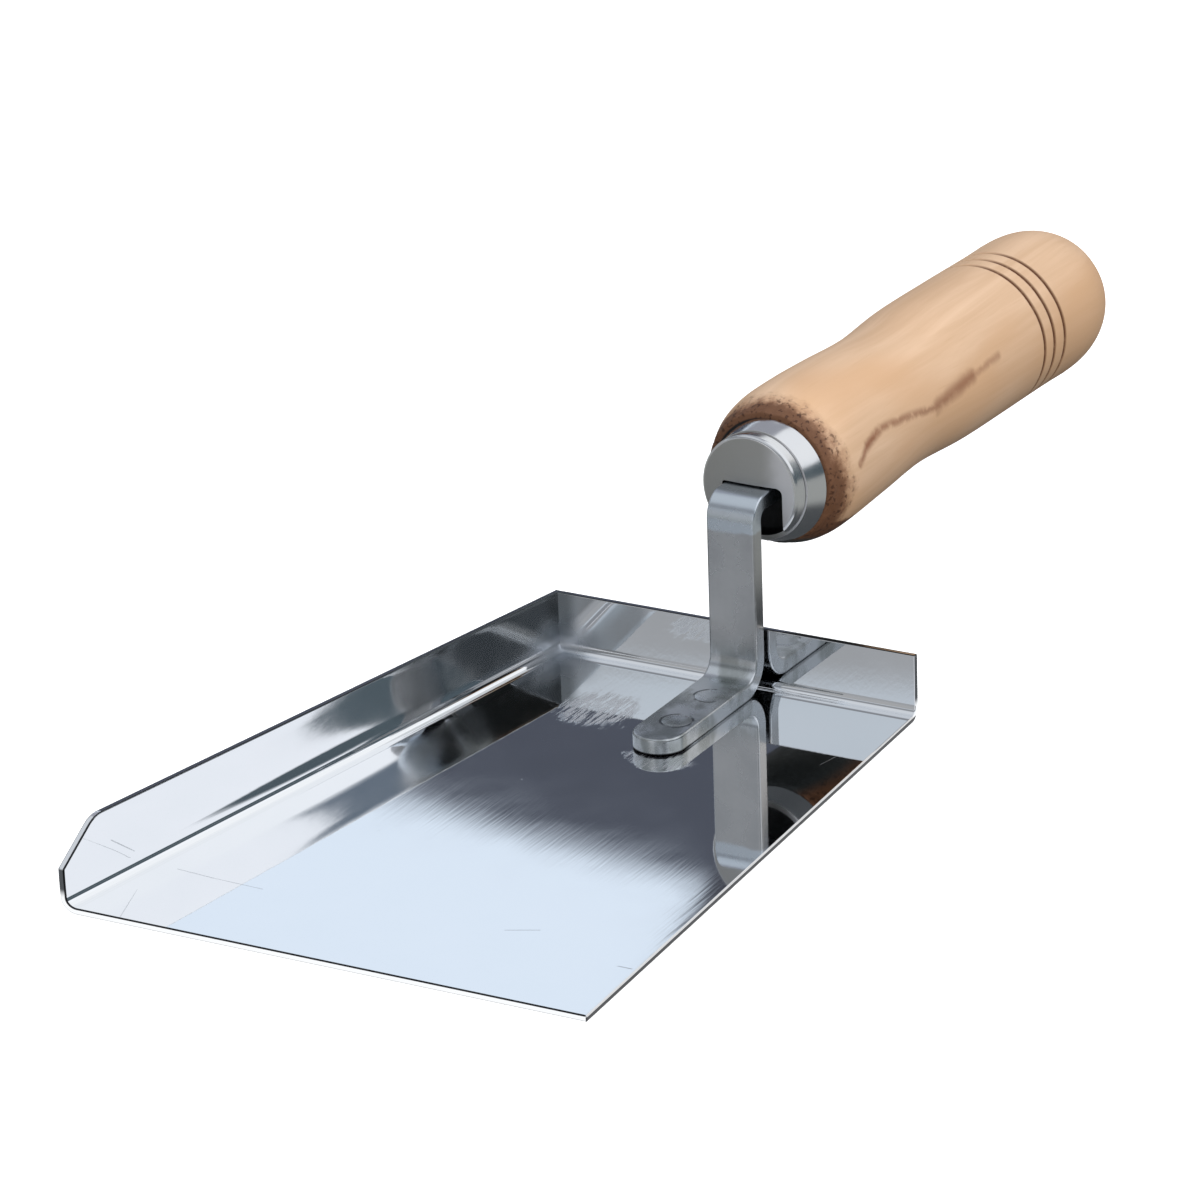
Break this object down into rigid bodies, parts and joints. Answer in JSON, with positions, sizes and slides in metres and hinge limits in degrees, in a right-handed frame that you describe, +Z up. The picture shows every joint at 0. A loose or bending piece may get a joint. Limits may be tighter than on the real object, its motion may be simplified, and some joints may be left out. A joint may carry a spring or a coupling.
{
  "type": "scoop trowel",
  "caption": "Folded steel scoop trowel, walled on its left and back, with a bent bar neck, a notched ferrule and a turned wooden handle.",
  "frame": {"origin": "on the underside of the pan, halfway along the pan on the centre line of the neck", "axes": "+Y from the open front edge to the handle's end, +X to the pan's open side, +Z up"},
  "size_m": [0.1272, 0.3305, 0.0646],
  "materials": {
    "pan_steel": "mirror-polished stainless sheet with fine scratches",
    "neck_steel": "satin rolled steel bar",
    "weld_steel": "dressed weld metal",
    "ferrule_steel": "polished turned steel",
    "handle_wood": "bare turned light wood, scorched at the ferrule"
  },
  "bodies": {
    "root": {"pan": "pan_steel", "corner_weld": "weld_steel", "neck": "neck_steel", "front_plug_weld": "weld_steel", "rear_plug_weld": "weld_steel", "ferrule_cap": "ferrule_steel", "ferrule_band": "ferrule_steel", "handle": "handle_wood"}
  },
  "joints": []
}
